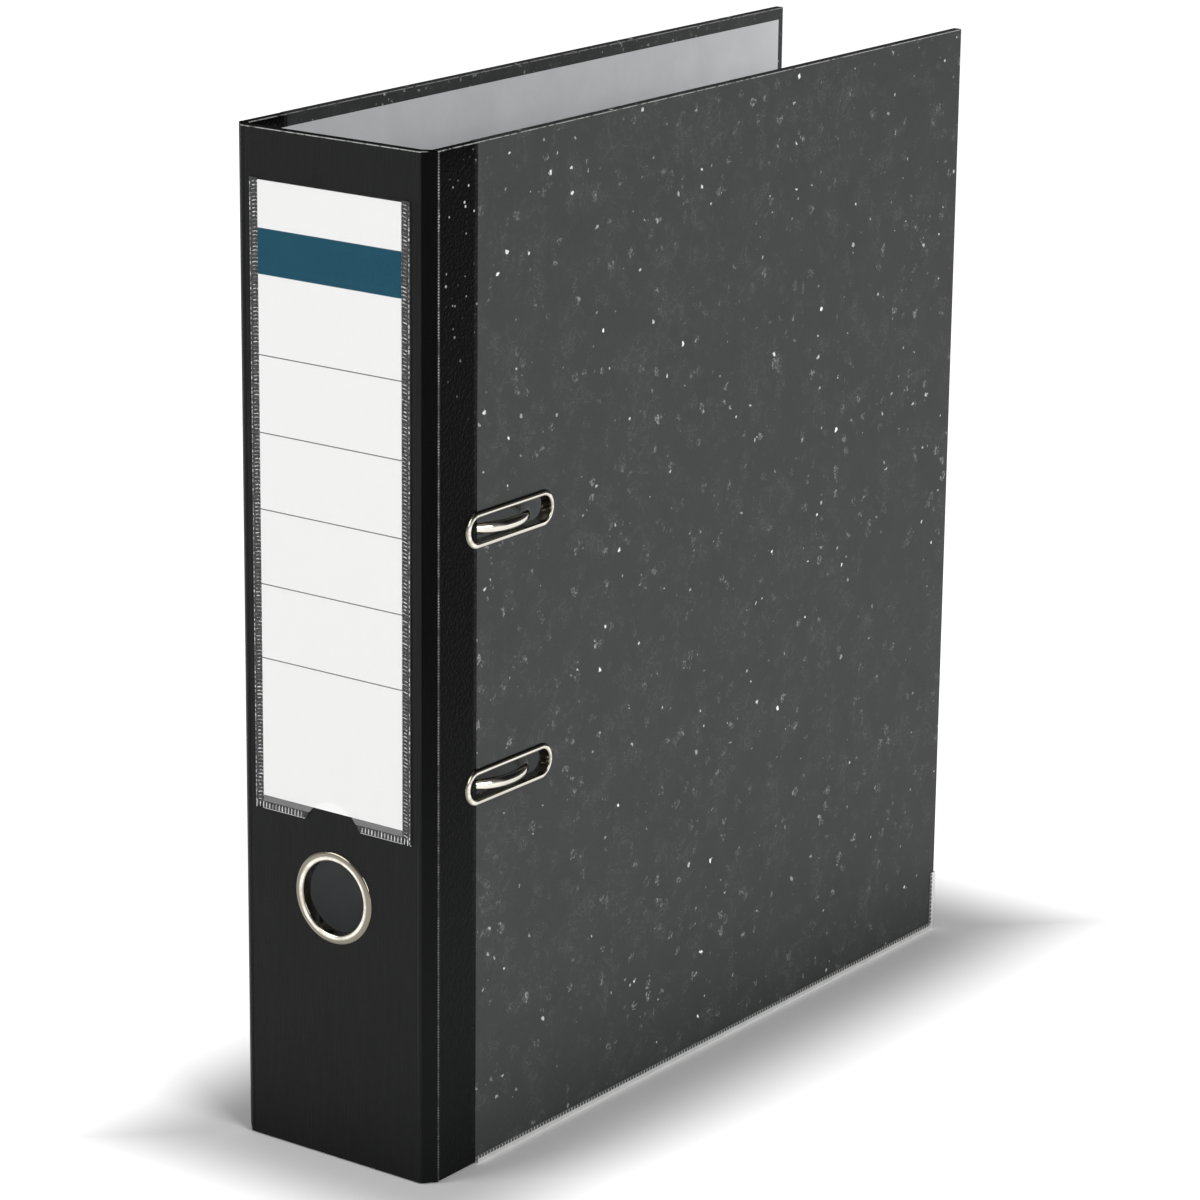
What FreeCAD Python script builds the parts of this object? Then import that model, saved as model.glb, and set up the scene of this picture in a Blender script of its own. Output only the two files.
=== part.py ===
import FreeCAD, Part
import math
import os
import re

import Sketcher
from FreeCAD import Rotation, Vector

# A lever arch file for A4 sheets, standing on the bottom edges of its two covers.
# X runs through the thickness (back cover at -X, front cover at +X), Y through the
# depth (spine at -Y, fore edge at +Y) and Z up.  The origin is at the middle of the
# base.  Every length is in millimetres.

# ---------------------------------------------------------------- driving sizes
SIZES = (
    # the whole file
    ("file_height", 318),
    ("file_depth", 285),
    ("file_width", 75),
    # covers and spine: greyboard, outer skin of paper or cloth, inner lining
    ("board_thickness", 2),
    ("skin_thickness", 0.4),
    ("lining_thickness", 0.3),
    ("turn_in", 4),
    ("fore_turn_in", 2.5),
    ("strip_width", 18.8),
    # the bevelled hinge along each long edge of the spine
    ("hinge_leg", 3.6),
    ("hinge_gap", 0.1),
    # pressed steel rails on the bottom edges
    ("rail_thickness", 0.4),
    ("rail_flange", 2),
    ("rail_return", 21),
    # label pocket and its card
    ("label_width", 54),
    ("label_height", 190),
    ("label_bottom", 112.5),
    ("label_thickness", 0.3),
    ("label_clearance", 0.05),
    ("film_thickness", 0.2),
    ("seam_width", 3.1),
    ("pocket_foot", 4.4),
    ("pocket_lip", 0.5),
    ("notch_radius", 9.3),
    ("notch_drop", 2.8),
    # finger ring in the spine
    ("ring_level", 85),
    ("ring_radius", 14.75),
    ("ring_bore", 11.7),
    ("eyelet_wall", 0.5),
    ("eyelet_chamfer", 0.25),
    ("lip_width", 0.6),
    ("lip_thickness", 0.3),
    ("washer_thickness", 0.5),
    ("washer_margin", 1),
    ("punch_fit", 0.1),
    # slots in the front cover, one for each arch
    ("slot_length", 43),
    ("slot_width", 11.6),
    ("slot_flange", 1.9),
    ("slot_lift", 0.8),
    ("slot_edge", 13.4),
    ("slot_rise", 0.5),
    # arches and filing posts
    ("arch_middle", 161.5),
    ("arch_pitch", 80),
    ("arch_proud", 3.3),
    ("arch_straight", 7.45),
    ("wire_radius", 1.8),
    ("wire_bend", 5),
    ("crank_bend", 4),
    ("crank_reach", 12),
    ("crank_span", 15),
    ("crank_gap", 1.2),
    ("post_setback", 56.5),
    ("post_spacing", 37),
    ("post_radius", 2),
    ("post_foot_radius", 4),
    ("post_foot_height", 1),
    ("post_tip_radius", 0.3),
    ("post_cone_height", 1),
    ("seat_gap", 0.35),
    ("shaft_height", 5),
    # base plate, its rivets and the bearings of the arches
    ("plate_thickness", 1),
    ("plate_length", 155),
    ("plate_behind", 8),
    ("plate_margin", 10),
    ("plate_corner", 6),
    ("bead_radius", 1.2),
    ("bead_inset", 2.5),
    ("rivet_inset", 7.5),
    ("rivet_radius", 2),
    ("rivet_head_radius", 4),
    ("rivet_head", 0.8),
    ("bearing_width", 7),
    ("bearing_length", 6),
    ("bearing_gap", 1.5),
    ("running_clearance", 0.05),
    # lever, its bracket and its roller
    ("lever_above", 14.5),
    ("lever_length", 66),
    ("lever_width", 10),
    ("lever_steel", 1.2),
    ("lever_drop", 2.7),
    ("lever_curl", 2.6),
    ("lever_curl_bore", 1.4),
    ("flange_stop", 8),
    ("roller_radius", 3.2),
    ("roller_arm", 14),
    ("roller_side_gap", 0.4),
    ("roller_clearance", 0.3),
    ("roller_pin_radius", 1),
    ("axle_radius", 1.5),
    ("axle_head_radius", 2.4),
    ("axle_head", 0.8),
    ("bracket_gap", 0.3),
    ("bracket_steel", 1.2),
    ("bracket_before", 6),
    ("bracket_after", 5.5),
    ("bracket_round", 3.5),
    # compressor bar on the posts
    ("bar_length", 124),
    ("bar_width", 14),
    ("bar_steel", 1),
    ("bar_depth", 4),
    ("bar_floor_gap", 2),
    ("bar_hole_gap", 0.3),
    ("spring_length", 113),
    ("spring_width", 8),
    ("spring_steel", 0.5),
    ("spring_rivet_radius", 1.6),
    ("spring_rivet_head", 0.5),
)

# ------------------------------------------- places worked out from those sizes
PLACES = {
    "mitre": "tan(22.5 deg)",
    "diagonal": "cos(45 deg)",
    # X of the outer and inner faces of a cover, and its thickness
    "skin_face": "(file_width / 2 - rail_thickness)",
    "wall": "(skin_thickness + board_thickness + lining_thickness)",
    "inner_face": "(skin_face - wall)",
    # the spine and the label pocket that lies on it
    "pocket_depth": "(film_thickness + label_thickness + 2 * label_clearance)",
    "spine_face": "(-file_depth / 2 + pocket_depth)",
    "spine_half": "(skin_face - hinge_leg)",
    "half_facet": "(hinge_leg / 2 / diagonal)",
    "hinge_across": "(skin_face - hinge_leg / 2)",
    "hinge_along": "(spine_face + hinge_leg / 2)",
    "cover_start": "(spine_face + hinge_leg)",
    "strip_end": "(cover_start + strip_width)",
    "fore_face": "(file_depth / 2 - rail_thickness)",
    # heights of the skins, the boards and the linings
    "skin_low": "rail_thickness",
    "board_low": "(skin_low + skin_thickness)",
    "board_high": "(file_height - skin_thickness)",
    "lining_low": "(skin_low + turn_in)",
    "lining_high": "(file_height - turn_in)",
    "lining_depth": "(skin_thickness + board_thickness)",
    # slots
    "slot_along": "(cover_start + slot_edge + slot_length / 2)",
    "slot_middle": "(arch_middle + slot_rise)",
    "opening_length": "(slot_length - 2 * slot_flange)",
    "opening_width": "(slot_width - 2 * slot_flange)",
    "sleeve_length": "(opening_length + 2 * eyelet_wall)",
    "sleeve_width": "(opening_width + 2 * eyelet_wall)",
    # the mechanism, whose heights are measured from the inside of the back cover
    "floor": "(-inner_face)",
    "plate_top": "(floor + plate_thickness)",
    "post_along": "(-file_depth / 2 + post_setback)",
    "leg_along": "(post_along - post_spacing)",
    "arch_radius": "(post_spacing / 2)",
    "shaft_level": "(floor + shaft_height)",
    "crown_level": "(skin_face + arch_proud - wire_radius)",
    "arch_centre": "(crown_level - arch_radius)",
    "post_top": "(arch_centre - arch_straight - seat_gap)",
    "post_length": "(post_top - plate_top)",
    "plate_near": "(leg_along - plate_behind)",
    "plate_far": "(post_along + plate_margin)",
    "plate_low": "(arch_middle - plate_length / 2)",
    "plate_high": "(arch_middle + plate_length / 2)",
    # lever
    "lever_along": "(leg_along + crank_reach)",
    "lever_level": "(shaft_level + wire_radius + roller_clearance + roller_radius)",
    "lever_pivot": "(arch_middle + lever_above)",
    "lever_inside": "(lever_level + roller_radius + roller_side_gap)",
    "lever_outside": "(lever_inside + lever_steel)",
    "lever_low": "(lever_level - lever_drop)",
    "lever_tip": "(lever_pivot - lever_length)",
    "cheek_offset": "(lever_width / 2 + bracket_gap)",
    "crank_high": "(lever_pivot - bracket_before - crank_gap - wire_radius)",
    # compressor bar
    "bar_low": "(plate_top + bar_floor_gap)",
    "bar_inside": "(bar_low + bar_depth - bar_steel)",
}

SHEET_NAME = "Sizes"
ALIASES = [alias for alias, number in SIZES]
SIDES = {"front": 1, "back": -1}
LEVELS = {"lower": -1, "upper": 1}

# turns that lay an object's own Z axis along another axis of the file
ALONG_X = Rotation(Vector(0, 1, 0), 90)
ALONG_Y = Rotation(Vector(1, 0, 0), -90)
ALONG_Z = Rotation()
QUARTER = Rotation(Vector(0, 0, 1), 45)

doc = FreeCAD.newDocument("LeverArchFile")
nodes = []


def fill_sheet():
    """Write each driving size as a plain number with its own alias."""
    sheet = doc.addObject("Spreadsheet::Sheet", SHEET_NAME)
    for row, (alias, number) in enumerate(SIZES, start=1):
        sheet.set(f"A{row}", alias)
        sheet.set(f"B{row}", str(number))
        sheet.setAlias(f"B{row}", alias)
    doc.recompute()
    return sheet


def formula(text):
    """Turn words into the sheet's cells, places first, so FreeCAD can follow them."""

    def cell(match):
        word = match.group(0)
        if word in PLACES:
            return formula(PLACES[word])
        if word in ALIASES:
            return f"{SHEET_NAME}.{word}"
        return word

    return re.sub(r"[a-z_]+", cell, str(text))


def number(text):
    """The present value of a formula, for shapes that are made point by point."""
    result = sheet.evalExpression(formula(text))
    return float(getattr(result, "Value", result))


def bind(thing, **formulas):
    for name, text in formulas.items():
        thing.setExpression(name, formula(text))


def place(thing, where, turn=ALONG_Z):
    thing.Placement = FreeCAD.Placement(Vector(), turn)
    for axis, text in zip("xyz", where):
        thing.setExpression(f"Placement.Base.{axis}", formula(text))


# --------------------------------------------------------------------- solids
def box(name, where, size, turn=ALONG_Z):
    solid = doc.addObject("Part::Box", name)
    place(solid, where, turn)
    bind(solid, Length=size[0], Width=size[1], Height=size[2])
    return solid


def cylinder(name, where, radius, length, turn=ALONG_Z):
    solid = doc.addObject("Part::Cylinder", name)
    place(solid, where, turn)
    bind(solid, Radius=radius, Height=length)
    return solid


def fuse(name, solids):
    joined = doc.addObject("Part::MultiFuse", name)
    joined.Shapes = solids
    joined.Refine = True
    return joined


def cut(name, base, tools):
    """Take each tool away in turn; the last result carries the given name."""
    result = base
    for count, tool in enumerate(tools, start=1):
        ending = "" if count == len(tools) else f"_cut{count}"
        step = doc.addObject("Part::Cut", f"{name}{ending}")
        step.Base, step.Tool = result, tool
        result = step
    return result


def stadium(name, where, length, width, depth):
    """A slot-shaped prism along X: round ends along Y, centred on `where` in Y and Z."""
    x, y, z = where
    straight = f"({length} - {width})"
    middle = box(
        f"{name}_middle",
        (x, f"{y} - {straight} / 2", f"{z} - {width} / 2"),
        (depth, straight, width),
    )
    ends = [
        cylinder(
            f"{name}_end{count}",
            (x, f"{y} + {sign} * {straight} / 2", z),
            f"{width} / 2",
            depth,
            ALONG_X,
        )
        for count, sign in enumerate((-1, 1))
    ]
    return fuse(name, [middle] + ends)


def origin_plane(body, role):
    return next(plane for plane in body.Origin.OriginFeatures if plane.Role == role)


def outline(body, role, corners):
    """A closed sketch whose every corner is held by two bound distances."""
    sketch = body.newObject("Sketcher::SketchObject", f"{body.Name}_outline")
    sketch.AttachmentSupport = (origin_plane(body, role), [""])
    sketch.MapMode = "FlatFace"
    points = [Vector(number(across), number(up), 0) for across, up in corners]
    for start, end in zip(points, points[1:] + points[:1]):
        sketch.addGeometry(Part.LineSegment(start, end))
    for line in range(len(points)):
        sketch.addConstraint(Sketcher.Constraint("Coincident", line, 2, (line + 1) % len(points), 1))
    for line, (across, up) in enumerate(corners):
        for kind, text, axis in (("DistanceX", across, -2), ("DistanceY", up, -1)):
            if text == "0":
                sketch.addConstraint(Sketcher.Constraint("PointOnObject", line, 1, axis))
                continue
            held = sketch.addConstraint(Sketcher.Constraint(kind, -1, 1, line, 1, number(text)))
            sketch.setExpression(f"Constraints[{held}]", formula(text))
    return sketch


def turned(name, corners, where, turn):
    """A round piece: the outline (radius, height) revolved about its own Z axis."""
    body = doc.addObject("PartDesign::Body", name)
    profile = outline(body, "XZ_Plane", corners)
    spin = body.newObject("PartDesign::Revolution", f"{name}_turned")
    spin.Profile = profile
    spin.ReferenceAxis = (profile, ["V_Axis"])
    spin.Angle = 360
    place(body, where, turn)
    return body


def padded(name, corners, thickness, where, turn=ALONG_Z):
    """A flat piece: the outline drawn in its own XY plane and padded along Z."""
    body = doc.addObject("PartDesign::Body", name)
    profile = outline(body, "XY_Plane", corners)
    pad = body.newObject("PartDesign::Pad", f"{name}_pad")
    pad.Profile = profile
    bind(pad, Length=thickness)
    place(body, where, turn)
    return body


def keep(solid, node):
    """Name a finished sub-part: its label is also the name of its file."""
    solid.Label = node
    nodes.append(solid)
    return solid


# ---------------------------------------------------------- covers and spine
def cover_layer(name, side, near, far, low, high, fore):
    """One layer of a cover, from `near` to `far` under its outer face.

    It runs from the middle of the bevelled hinge to `fore`.
    """
    start = f"(cover_start + mitre * {near})"
    deep = f"({far} - {near})"
    facet = f"(half_facet - mitre * {near} - hinge_gap / 2)"
    tall = f"({high} - {low})"
    inward = f"({near} * diagonal)"
    aside = "(hinge_gap / 2 * diagonal)"
    if side > 0:
        flat_x = f"skin_face - {far}"
        bevel = (f"hinge_across - {inward} + {aside}", facet, deep)
    else:
        flat_x = f"-skin_face + {near}"
        bevel = (f"-hinge_across + {inward} - {aside}", deep, facet)
    flat = box(f"{name}_flat", (flat_x, start, low), (deep, f"{fore} - {start}", tall))
    wing = box(
        f"{name}_wing",
        (bevel[0], f"hinge_along + {inward} + {aside}", low),
        (bevel[1], bevel[2], tall),
        QUARTER,
    )
    return fuse(name, [flat, wing])


def spine_layer(name, near, far, low, high):
    """One layer of the spine with half of the bevelled hinge on each side."""
    deep = f"({far} - {near})"
    tall = f"({high} - {low})"
    corner = f"(spine_half - mitre * {near})"
    facet = f"(half_facet - mitre * {near} - hinge_gap / 2)"
    level = f"spine_face + {near}"
    flat = box(f"{name}_flat", (f"-{corner}", level, low), (f"2 * {corner}", deep, tall))
    right = box(f"{name}_right", (corner, level, low), (facet, deep, tall), QUARTER)
    left = box(f"{name}_left", (f"-{corner}", level, low), (deep, facet, tall), QUARTER)
    return fuse(name, [flat, right, left])


def make_cover(face, side, punches):
    """Board, lining, patterned paper, cloth strip and rail of one cover."""
    board = cover_layer(
        f"{face}_greyboard",
        side,
        "skin_thickness",
        "lining_depth",
        "board_low",
        "board_high",
        "(fore_face - skin_thickness)",
    )
    lining = cover_layer(
        f"{face}_sheet", side, "lining_depth", "wall", "lining_low", "lining_high", "(fore_face - fore_turn_in)"
    )
    cloth = cover_layer(f"{face}_cloth", side, "0", "wall", "skin_low", "file_height", "strip_end")
    inner_x = "inner_face" if side > 0 else "-skin_face"
    paper = box(
        f"{face}_wrapper",
        (inner_x, "strip_end", "skin_low"),
        ("wall", "fore_face - strip_end", "file_height - skin_low"),
    )
    keep(cut(f"{face}_board", board, punches), f"{face}_board")
    keep(cut(f"{face}_lining", lining, punches), f"{face}_lining")
    keep(cut(f"{face}_cover_strip", cloth, [board, lining] + punches), f"{face}_cover_strip")
    keep(cut(f"{face}_cover_paper", paper, [board, lining] + punches), f"{face}_cover_paper")
    make_rail(face, side)


def make_rail(face, side):
    """A channel pressed over the bottom edge, turned up the fore edge."""
    channel = "(wall + 2 * rail_thickness)"
    web = "(rail_thickness + rail_flange)"
    rail_x = "inner_face - rail_thickness" if side > 0 else "-file_width / 2"
    edge_x = "inner_face" if side > 0 else "-skin_face"
    bottom = box(
        f"{face}_rail_bottom", (rail_x, "strip_end", 0), (channel, "file_depth / 2 - strip_end", web)
    )
    riser = box(f"{face}_rail_riser", (rail_x, f"file_depth / 2 - {web}", 0), (channel, web, "rail_return"))
    edge = box(
        f"{face}_rail_edge",
        (edge_x, "strip_end", "skin_low"),
        ("wall", "fore_face - strip_end", "rail_return"),
    )
    keep(cut(f"{face}_edge_rail", fuse(f"{face}_rail", [bottom, riser]), [edge]), f"{face}_edge_rail")


def make_spine():
    """Board, lining and cloth of the spine, open at the finger ring."""
    punch = cylinder(
        "ring_punch",
        (0, "spine_face - wall", "ring_level"),
        "ring_bore + eyelet_wall + punch_fit",
        "3 * wall",
        ALONG_Y,
    )
    board = spine_layer("spine_greyboard", "skin_thickness", "lining_depth", "board_low", "board_high")
    lining = spine_layer("spine_sheet", "lining_depth", "wall", "lining_low", "lining_high")
    cloth = spine_layer("spine_cloth", "0", "wall", "skin_low", "file_height")
    keep(cut("spine_board", board, [punch]), "spine_board")
    keep(cut("spine_lining", lining, [punch]), "spine_lining")
    keep(cut("spine_wrap", cloth, [board, lining, punch]), "spine_wrap")


def make_finger_ring():
    sleeve = "(ring_bore + eyelet_wall)"
    clinch = "(pocket_depth + wall + washer_thickness)"
    ring = [
        ("ring_bore + eyelet_chamfer", "0"),
        ("ring_radius - eyelet_chamfer", "0"),
        ("ring_radius", "eyelet_chamfer"),
        ("ring_radius", "pocket_depth"),
        (sleeve, "pocket_depth"),
        (sleeve, clinch),
        (f"{sleeve} + lip_width", clinch),
        (f"{sleeve} + lip_width", f"{clinch} + lip_thickness"),
        ("ring_bore", f"{clinch} + lip_thickness"),
        ("ring_bore", "eyelet_chamfer"),
    ]
    keep(turned("finger_ring", ring, (0, "-file_depth / 2", "ring_level"), ALONG_Y), "finger_ring")
    washer = [
        (f"{sleeve} + punch_fit", "0"),
        ("ring_radius - washer_margin", "0"),
        ("ring_radius - washer_margin", "washer_thickness"),
        (f"{sleeve} + punch_fit", "washer_thickness"),
    ]
    keep(
        turned("finger_ring_washer", washer, (0, "spine_face + wall", "ring_level"), ALONG_Y),
        "finger_ring_washer",
    )


def make_label():
    """A clear pocket welded to the spine on three sides, and the card in it."""
    pocket_half = "(label_width / 2 + label_clearance + seam_width)"
    pocket_low = "(label_bottom - pocket_foot)"
    label_high = "(label_bottom + label_height)"
    film = box(
        "pocket_film",
        (f"-{pocket_half}", "-file_depth / 2", pocket_low),
        (f"2 * {pocket_half}", "pocket_depth", f"{label_high} + pocket_lip - {pocket_low}"),
    )
    space = box(
        "pocket_space",
        (
            "-(label_width / 2 + label_clearance)",
            "-file_depth / 2 + film_thickness",
            "label_bottom - label_clearance",
        ),
        ("label_width + 2 * label_clearance", "pocket_depth", "file_height"),
    )
    notch = cylinder(
        "pocket_notch",
        (0, "-file_depth / 2 - film_thickness", f"{pocket_low} - notch_drop"),
        "notch_radius",
        "pocket_depth + 2 * film_thickness",
        ALONG_Y,
    )
    keep(cut("label_pocket", film, [space, notch]), "label_pocket")
    card = [
        ("0", "0"),
        ("label_width", "0"),
        ("label_width", "label_thickness"),
        ("0", "label_thickness"),
    ]
    keep(
        padded(
            "label_card",
            card,
            "label_height",
            ("-label_width / 2", "spine_face - label_clearance - label_thickness", "label_bottom"),
        ),
        "label_card",
    )


# ------------------------------------------------------------ slots for the arches
def slot_centre(sign):
    return f"(slot_middle + {sign} * arch_pitch / 2)"


def make_slot_punches():
    return [
        stadium(
            f"{level}_slot_punch",
            ("inner_face - wall", "slot_along", slot_centre(sign)),
            "(sleeve_length + 2 * punch_fit)",
            "(sleeve_width + 2 * punch_fit)",
            "3 * wall",
        )
        for level, sign in LEVELS.items()
    ]


def make_slot_eyelet(level, sign, punch):
    """A pressed eyelet through the front cover, clinched over a backing washer."""

    def ring(name, x, length, width, depth):
        return stadium(f"{level}_{name}", (x, "slot_along", slot_centre(sign)), length, width, depth)

    clinch = "(inner_face - washer_thickness)"
    flange = ring("slot_flange", "skin_face", "slot_length", "slot_width", "slot_lift")
    sleeve = ring("slot_sleeve", clinch, "sleeve_length", "sleeve_width", f"skin_face - {clinch}")
    lip = ring(
        "slot_lip",
        f"{clinch} - lip_thickness",
        "(sleeve_length + 2 * lip_width)",
        "(sleeve_width + 2 * lip_width)",
        "lip_thickness",
    )
    opening = ring("slot_opening", "inner_face - wall", "opening_length", "opening_width", "3 * wall")
    body = fuse(f"{level}_slot_body", [flange, sleeve, lip])
    keep(cut(f"slot_eyelet_{level}", body, [opening]), f"slot_eyelet_{level}")
    washer = ring(
        "slot_washer",
        clinch,
        "(slot_length - washer_margin)",
        "(slot_width - washer_margin)",
        "washer_thickness",
    )
    keep(cut(f"slot_washer_{level}", washer, [punch]), f"slot_washer_{level}")


# ------------------------------------------------------------------ mechanism
def arch_level(sign):
    return f"(arch_middle + {sign} * arch_pitch / 2)"


def rivet_places():
    return [
        (along, up)
        for along in ("plate_near + rivet_inset", "plate_far - rivet_inset")
        for up in ("plate_low + rivet_inset", "plate_high - rivet_inset")
    ]


def make_rivet_punches():
    return [
        cylinder(f"rivet_punch{count}", ("-file_width", along, up), "rivet_radius + punch_fit", "file_width", ALONG_X)
        for count, (along, up) in enumerate(rivet_places())
    ]


def make_base_plate(punches):
    plate = box(
        "plate_blank",
        ("floor", "plate_near", "plate_low"),
        ("plate_thickness", "plate_far - plate_near", "plate_length"),
    )
    doc.recompute()
    rounded = doc.addObject("Part::Fillet", "plate_rounded")
    rounded.Base = plate
    radius = number("plate_corner")
    across = [
        count
        for count, edge in enumerate(plate.Shape.Edges, start=1)
        if abs(edge.tangentAt(edge.FirstParameter).x) > 0.9
    ]
    rounded.Edges = [(count, radius, radius) for count in across]
    run = "(plate_length - 2 * plate_corner)"
    beads = [
        cylinder(f"plate_bead{count}", ("plate_top", along, "plate_low + plate_corner"), "bead_radius", run)
        for count, along in enumerate(("plate_near + bead_inset", "lever_along + cheek_offset + plate_corner"))
    ]
    below = box(
        "plate_underside",
        ("floor - bead_radius", "plate_near", "plate_low"),
        ("bead_radius", "plate_far - plate_near", "plate_length"),
    )
    pressed = fuse("plate_pressed", [rounded] + beads)
    keep(cut("mechanism_base_plate", pressed, [below] + punches), "mechanism_base_plate")


def make_rivets():
    """Four rivets hold the base plate to the back cover."""
    parts = []
    grip = "(wall + plate_thickness)"
    for count, (along, up) in enumerate(rivet_places()):
        shank = ("-skin_face - rivet_head", along, up)
        parts.append(cylinder(f"rivet_shank{count}", shank, "rivet_radius", f"{grip} + 2 * rivet_head", ALONG_X))
        parts.append(cylinder(f"rivet_head{count}", shank, "rivet_head_radius", "rivet_head", ALONG_X))
        inner = ("plate_top", along, up)
        parts.append(
            cylinder(f"rivet_tail{count}", inner, "rivet_head_radius - punch_fit", "rivet_head", ALONG_X)
        )
    keep(fuse("base_plate_rivets", parts), "base_plate_rivets")


def make_post(level, sign):
    """A filing post with a foot and a blunt cone that centres the arch above it."""
    profile = [
        ("0", "0"),
        ("post_foot_radius", "0"),
        ("post_foot_radius", "post_foot_height"),
        ("post_radius", "post_foot_height"),
        ("post_radius", "post_length"),
        ("post_tip_radius", "post_length + post_cone_height"),
        ("0", "post_length + post_cone_height"),
    ]
    name = f"filing_post_{level}"
    keep(turned(name, profile, ("plate_top", "post_along", arch_level(sign)), ALONG_X), name)


def make_arch_bearing(level, middle):
    """A saddle on the base plate that the shaft of the arches turns in."""
    name = f"arch_bearing_{level}"
    low = f"({middle} - bearing_length / 2)"
    block = box(
        f"{name}_block",
        ("plate_top", "leg_along - bearing_width / 2", low),
        ("shaft_level - plate_top", "bearing_width", "bearing_length"),
    )
    crown = cylinder(f"{name}_crown", ("shaft_level", "leg_along", low), "bearing_width / 2", "bearing_length")
    bore = cylinder(
        f"{name}_bore",
        ("shaft_level", "leg_along", f"{low} - bearing_length"),
        "wire_radius + running_clearance",
        "3 * bearing_length",
    )
    keep(cut(name, fuse(f"{name}_body", [block, crown]), [bore]), name)


def make_bearings():
    """One saddle beside each arch, on the straight of the shaft next to its leg."""
    beside = "(wire_bend + bearing_gap + bearing_length / 2)"
    for level, sign in LEVELS.items():
        make_arch_bearing(level, f"({arch_level(sign)} - {sign} * {beside})")


def corner_arc(before, corner, after, radius):
    """The tangent arc that rounds a square corner, and its two ends."""
    into = (corner - before).normalize()
    out = (after - corner).normalize()
    start = corner - into * radius
    end = corner + out * radius
    centre = start + out * radius
    middle = centre + (corner - centre).normalize() * radius
    return start, Part.Arc(start, middle, end).toShape(), end


def rounded_path(points, radii):
    """Straight runs joined by tangent arcs, as a list of edges."""
    edges = []
    here = points[0]
    for before, corner, after, radius in zip(points, points[1:], points[2:], radii):
        start, arc, end = corner_arc(before, corner, after, radius)
        edges += [Part.LineSegment(here, start).toShape(), arc]
        here = end
    edges.append(Part.LineSegment(here, points[-1]).toShape())
    return edges


def arch_wire_route():
    """The centre line of the one wire that makes both arches, their shaft and its crank."""
    post, leg, crank = number("post_along"), number("leg_along"), number("lever_along")
    shaft, centre = number("shaft_level"), number("arch_centre")
    bend, crank_bend = number("wire_bend"), number("crank_bend")
    tip = number("post_top + seat_gap")
    crown = Vector(number("crown_level"), (post + leg) / 2, 0)
    half_pitch = Vector(0, 0, number("arch_pitch / 2"))
    middle = Vector(0, 0, number("arch_middle"))
    crank_high = number("crank_high")
    crank_low = number("crank_high - crank_span")

    def arch(level):
        """Edges from the end over the post, round the bow, to the top of the leg."""
        bow_start, bow_end = Vector(centre, post, 0) + level, Vector(centre, leg, 0) + level
        down = Part.LineSegment(Vector(tip, post, 0) + level, bow_start).toShape()
        return [down, Part.Arc(bow_start, crown + level, bow_end).toShape()]

    lower, upper = middle - half_pitch, middle + half_pitch
    frame = [
        Vector(centre, leg, lower.z),
        Vector(shaft, leg, lower.z),
        Vector(shaft, leg, crank_low),
        Vector(shaft, crank, crank_low),
        Vector(shaft, crank, crank_high),
        Vector(shaft, leg, crank_high),
        Vector(shaft, leg, upper.z),
        Vector(centre, leg, upper.z),
    ]
    radii = [bend] + [crank_bend] * 4 + [bend]
    return arch(lower) + rounded_path(frame, radii) + arch(upper)[::-1]


def make_arch_bow():
    """Two arches bent from one wire, each end hollowed to sit over its post."""
    route = Part.Wire(Part.__sortEdges__(arch_wire_route()))
    radius = number("wire_radius")
    start = Vector(number("post_top + seat_gap"), number("post_along"), number(arch_level(-1)))
    section = Part.Wire(Part.Circle(start, Vector(1, 0, 0), radius).toShape())
    wire = route.makePipeShell([section], True, False)
    post_radius, tip_radius = number("post_radius"), number("post_tip_radius")
    for sign in LEVELS.values():
        seat = Vector(start.x, start.y, number(arch_level(sign)))
        hollow = Part.makeCone(post_radius, tip_radius, number("post_cone_height"), seat, Vector(1, 0, 0))
        wire = wire.cut(hollow)
    bow = doc.addObject("Part::Feature", "arch_bow_wire")
    bow.Shape = wire
    bow.Placement = FreeCAD.Placement()
    print("arch wire:", round(wire.Volume, 1), "of", round(math.pi * radius**2 * route.Length, 1))
    keep(bow, "arch_bow")


def make_lever():
    """A folded steel lever with a rolled finger grip."""
    half = "(lever_width / 2)"
    web = box(
        "lever_web",
        ("lever_inside", f"lever_along - {half}", "lever_tip + lever_curl"),
        ("lever_steel", "lever_width", "lever_length - lever_curl - axle_head_radius"),
    )
    flanges = [
        box(
            f"lever_flange{count}",
            ("lever_low", along, "lever_tip + flange_stop"),
            ("lever_outside - lever_low", "lever_steel", "lever_length - flange_stop"),
        )
        for count, along in enumerate((f"lever_along - {half}", f"lever_along + {half} - lever_steel"))
    ]
    ears = [
        cylinder(f"lever_ear{count}", ("lever_level", along, "lever_pivot"), "lever_drop", "lever_steel", ALONG_Y)
        for count, along in enumerate((f"lever_along - {half}", f"lever_along + {half} - lever_steel"))
    ]
    grip_place = ("lever_inside + lever_curl", f"lever_along - {half}", "lever_tip + lever_curl")
    grip = cylinder("lever_grip", grip_place, "lever_curl", "lever_width", ALONG_Y)
    grip_bore = cylinder("lever_grip_bore", grip_place, "lever_curl_bore", "lever_width", ALONG_Y)
    across = (f"lever_along - {half}", "lever_width")
    axle_hole = cylinder(
        "lever_axle_hole",
        ("lever_level", across[0], "lever_pivot"),
        "axle_radius + running_clearance",
        across[1],
        ALONG_Y,
    )
    pin_hole = cylinder(
        "lever_pin_hole",
        ("lever_level", across[0], "lever_pivot - roller_arm"),
        "roller_pin_radius",
        across[1],
        ALONG_Y,
    )
    body = fuse("lever_body", [web] + flanges + ears + [grip])
    keep(cut("lever_arm", body, [grip_bore, axle_hole, pin_hole]), "lever_arm")


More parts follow.
